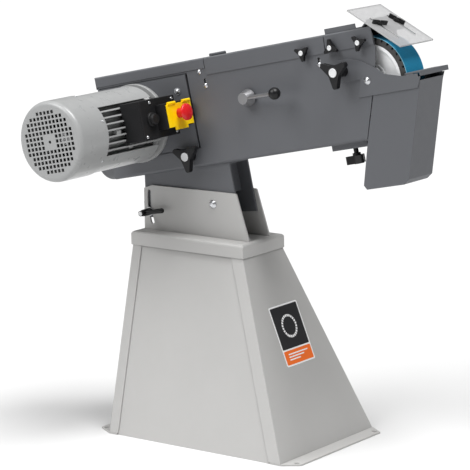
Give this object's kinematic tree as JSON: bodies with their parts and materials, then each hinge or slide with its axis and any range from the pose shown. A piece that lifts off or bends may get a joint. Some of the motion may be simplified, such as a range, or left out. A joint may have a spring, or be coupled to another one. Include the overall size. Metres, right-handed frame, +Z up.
{
  "type": "belt grinder",
  "caption": "Free-standing abrasive belt grinder: tilting arm with contact wheel, platen under a lifting cover, spark chute and clear shield, on a tapered sheet-metal pedestal.",
  "frame": {"origin": "centre of the four floor bolts, on the floor plane", "axes": "+X towards the contact wheel and the operator, +Z up, the motor and controls on the -Y side"},
  "size_m": [0.9953, 0.5905, 1.1],
  "materials": {
    "light_paint": "light grey powder coat, satin",
    "dark_paint": "dark grey powder coat, satin",
    "motor_paint": "light grey enamel on cast aluminium",
    "steel": "zinc-plated and turned steel",
    "cast_aluminium": "turned cast aluminium",
    "copper_windings": "lacquered copper and laminations",
    "tyre_rubber": "serrated rubber",
    "belt_cloth": "blue abrasive grit on cloth",
    "black_plastic": "black moulded plastic",
    "knob_plastic": "black glass-filled plastic",
    "yellow_plastic": "yellow moulded plastic",
    "red_plastic": "red moulded plastic",
    "green_plastic": "green moulded plastic",
    "clear_sheet": "clear polycarbonate"
  },
  "bodies": {
    "stand": {"stand_front": "light_paint", "stand_rear": "light_paint", "stand_sides": "light_paint", "stand_cap": "light_paint", "feet": "light_paint", "cheeks": "light_paint", "pivot_screw": "steel"},
    "head": {"neck": "dark_paint", "housing": "dark_paint", "motor_plate": "dark_paint", "rear_cover": "dark_paint", "platen": "steel", "housing_screws": "steel", "extraction_spigot": "dark_paint", "clamp_stud": "steel", "arm_guides": "steel", "abrasive_belt": "belt_cloth", "motor_end_shields": "motor_paint", "motor_frame": "motor_paint", "stator": "copper_windings", "motor_bearings": "steel", "fan_cowl": "motor_paint", "terminal_box": "black_plastic", "terminal_lid": "black_plastic", "cable_gland": "black_plastic", "switch_box": "black_plastic"},
    "motor_rotor": {"rotor": "steel", "cooling_fan": "black_plastic", "drive_pulley": "steel"},
    "tension_arm": {"wheel_arm": "steel", "wheel_axle": "steel"},
    "contact_wheel": {"wheel_hub": "cast_aluminium", "wheel_tyre": "tyre_rubber", "wheel_bearings": "steel"},
    "tension_handle": {"tension_lever": "steel", "lever_ball": "knob_plastic", "tension_pinion": "steel"},
    "clamp_handle": {"clamp_lever": "knob_plastic"},
    "door": {"belt_door": "dark_paint"},
    "latch": {"door_latch": "black_plastic"},
    "cover": {"platen_cover": "dark_paint"},
    "cover_screw": {"cover_knob": "knob_plastic"},
    "hood": {"wheel_hood": "dark_paint", "shield_bracket": "dark_paint"},
    "hood_screw_rear": {"hood_knob_rear": "knob_plastic"},
    "hood_screw_front": {"hood_knob_front": "knob_plastic"},
    "eye_shield": {"shield": "clear_sheet"},
    "shield_screw_near": {"shield_knob_near": "knob_plastic"},
    "shield_screw_far": {"shield_knob_far": "knob_plastic"},
    "spark_guard": {"guard_plates": "dark_paint", "spark_chute": "dark_paint"},
    "rest": {"work_rest": "dark_paint"},
    "plate_screw": {"motor_plate_knob": "knob_plastic"},
    "guard_screw": {"guard_knob": "knob_plastic"},
    "tracking_screw": {"tracking_knob": "knob_plastic"},
    "flap": {"switch_flap": "yellow_plastic"},
    "stop_button": {"stop_mushroom": "red_plastic"},
    "start_key": {"start_button": "green_plastic"}
  },
  "joints": [
    {"name": "head_tilt", "type": "hinge", "parent": "stand", "child": "head", "pos_m": [-0.036, 0, 0.589], "axis": [0, -1, 0], "range_deg": [-14, 7.5]},
    {"name": "clamp_lever_turn", "type": "hinge", "parent": "head", "child": "clamp_handle", "pos_m": [-0.23658, -0.06, 0.55182], "axis": [0, -1, 0], "range_deg": [0, 100]},
    {"name": "rotor_spin", "type": "hinge", "parent": "head", "child": "motor_rotor", "pos_m": [-0.26401, -0.18, 0.7767], "axis": [0, 1, 0], "continuous": true},
    {"name": "contact_wheel_spin", "type": "hinge", "parent": "tension_arm", "child": "contact_wheel", "pos_m": [0.43762, 0, 0.93401], "axis": [0, 1, 0], "continuous": true},
    {"name": "tension_lever_turn", "type": "hinge", "parent": "head", "child": "tension_handle", "pos_m": [0.08871, -0.06, 0.86803], "axis": [0, 1, 0], "range_deg": [0, 90]},
    {"name": "tension_arm_slide", "type": "slide", "parent": "head", "child": "tension_arm", "axis": [0.9781, 0, 0.2079], "range_m": [-0.0157, 0]},
    {"name": "door_swing", "type": "hinge", "parent": "head", "child": "door", "pos_m": [0.35659, 0.0558, 0.88714], "axis": [0.2079, 0, -0.9781], "range_deg": [0, 110]},
    {"name": "latch_turn", "type": "hinge", "parent": "door", "child": "latch", "pos_m": [-0.35912, 0.052, 0.74319], "axis": [0, 1, 0], "range_deg": [0, 90]},
    {"name": "cover_lift", "type": "hinge", "parent": "head", "child": "cover", "pos_m": [-0.04558, 0, 0.96114], "axis": [0, -1, 0], "range_deg": [0, 100]},
    {"name": "cover_knob_turn", "type": "hinge", "parent": "cover", "child": "cover_screw", "pos_m": [0.25633, -0.055, 0.98851], "axis": [0, 1, 0], "range_deg": [-180, 180]},
    {"name": "hood_slide", "type": "slide", "parent": "head", "child": "hood", "axis": [0.9781, 0, 0.2079], "range_m": [0, 0.014]},
    {"name": "hood_knob_rear_turn", "type": "hinge", "parent": "head", "child": "hood_screw_rear", "pos_m": [0.33947, -0.055, 1.00618], "axis": [0, 1, 0], "range_deg": [-180, 180]},
    {"name": "hood_knob_front_turn", "type": "hinge", "parent": "head", "child": "hood_screw_front", "pos_m": [0.41968, -0.055, 1.02323], "axis": [0, 1, 0], "range_deg": [-180, 180]},
    {"name": "shield_slide", "type": "slide", "parent": "hood", "child": "eye_shield", "axis": [0.8918, 0, -0.4524], "range_m": [-0.058, 0.025]},
    {"name": "shield_knob_near_turn", "type": "hinge", "parent": "hood", "child": "shield_screw_near", "pos_m": [0.45938, -0.036, 1.06428], "axis": [0.4524, 0, 0.8918], "range_deg": [-180, 180]},
    {"name": "shield_knob_far_turn", "type": "hinge", "parent": "hood", "child": "shield_screw_far", "pos_m": [0.45938, 0.036, 1.06428], "axis": [0.4524, 0, 0.8918], "range_deg": [-180, 180]},
    {"name": "guard_swing", "type": "hinge", "parent": "head", "child": "spark_guard", "pos_m": [0.43685, 0, 0.93282], "axis": [0, -1, 0], "range_deg": [0, 8]},
    {"name": "rest_slide", "type": "slide", "parent": "spark_guard", "child": "rest", "axis": [0.9781, 0, 0.2079], "range_m": [-0.002, 0.02]},
    {"name": "motor_plate_knob_turn", "type": "hinge", "parent": "head", "child": "plate_screw", "pos_m": [-0.0951, -0.06, 0.70832], "axis": [0, 1, 0], "range_deg": [-180, 180]},
    {"name": "guard_knob_turn", "type": "hinge", "parent": "head", "child": "guard_screw", "pos_m": [0.36795, -0.06, 0.95193], "axis": [0, 1, 0], "range_deg": [-180, 180]},
    {"name": "tracking_knob_turn", "type": "hinge", "parent": "head", "child": "tracking_screw", "pos_m": [0.37702, -0.01, 0.73813], "axis": [-0.2079, 0, 0.9781], "range_deg": [-180, 180]},
    {"name": "flap_swing", "type": "hinge", "parent": "head", "child": "flap", "pos_m": [-0.08751, -0.11, 0.85204], "axis": [0, -1, 0], "range_deg": [0, 110]},
    {"name": "stop_press", "type": "slide", "parent": "flap", "child": "stop_button", "axis": [-0.9781, 0, -0.2079], "range_m": [0, 0.004], "stiffness_N_per_m": 900},
    {"name": "start_press", "type": "slide", "parent": "head", "child": "start_key", "axis": [-0.9781, 0, -0.2079], "range_m": [0, 0.003], "stiffness_N_per_m": 900}
  ],
  "couplings": [
    {"joint": "contact_wheel_spin", "follows": "rotor_spin", "ratio": 0.79},
    {"joint": "tension_lever_turn", "follows": "tension_arm_slide", "rad_per_m": -100}
  ]
}
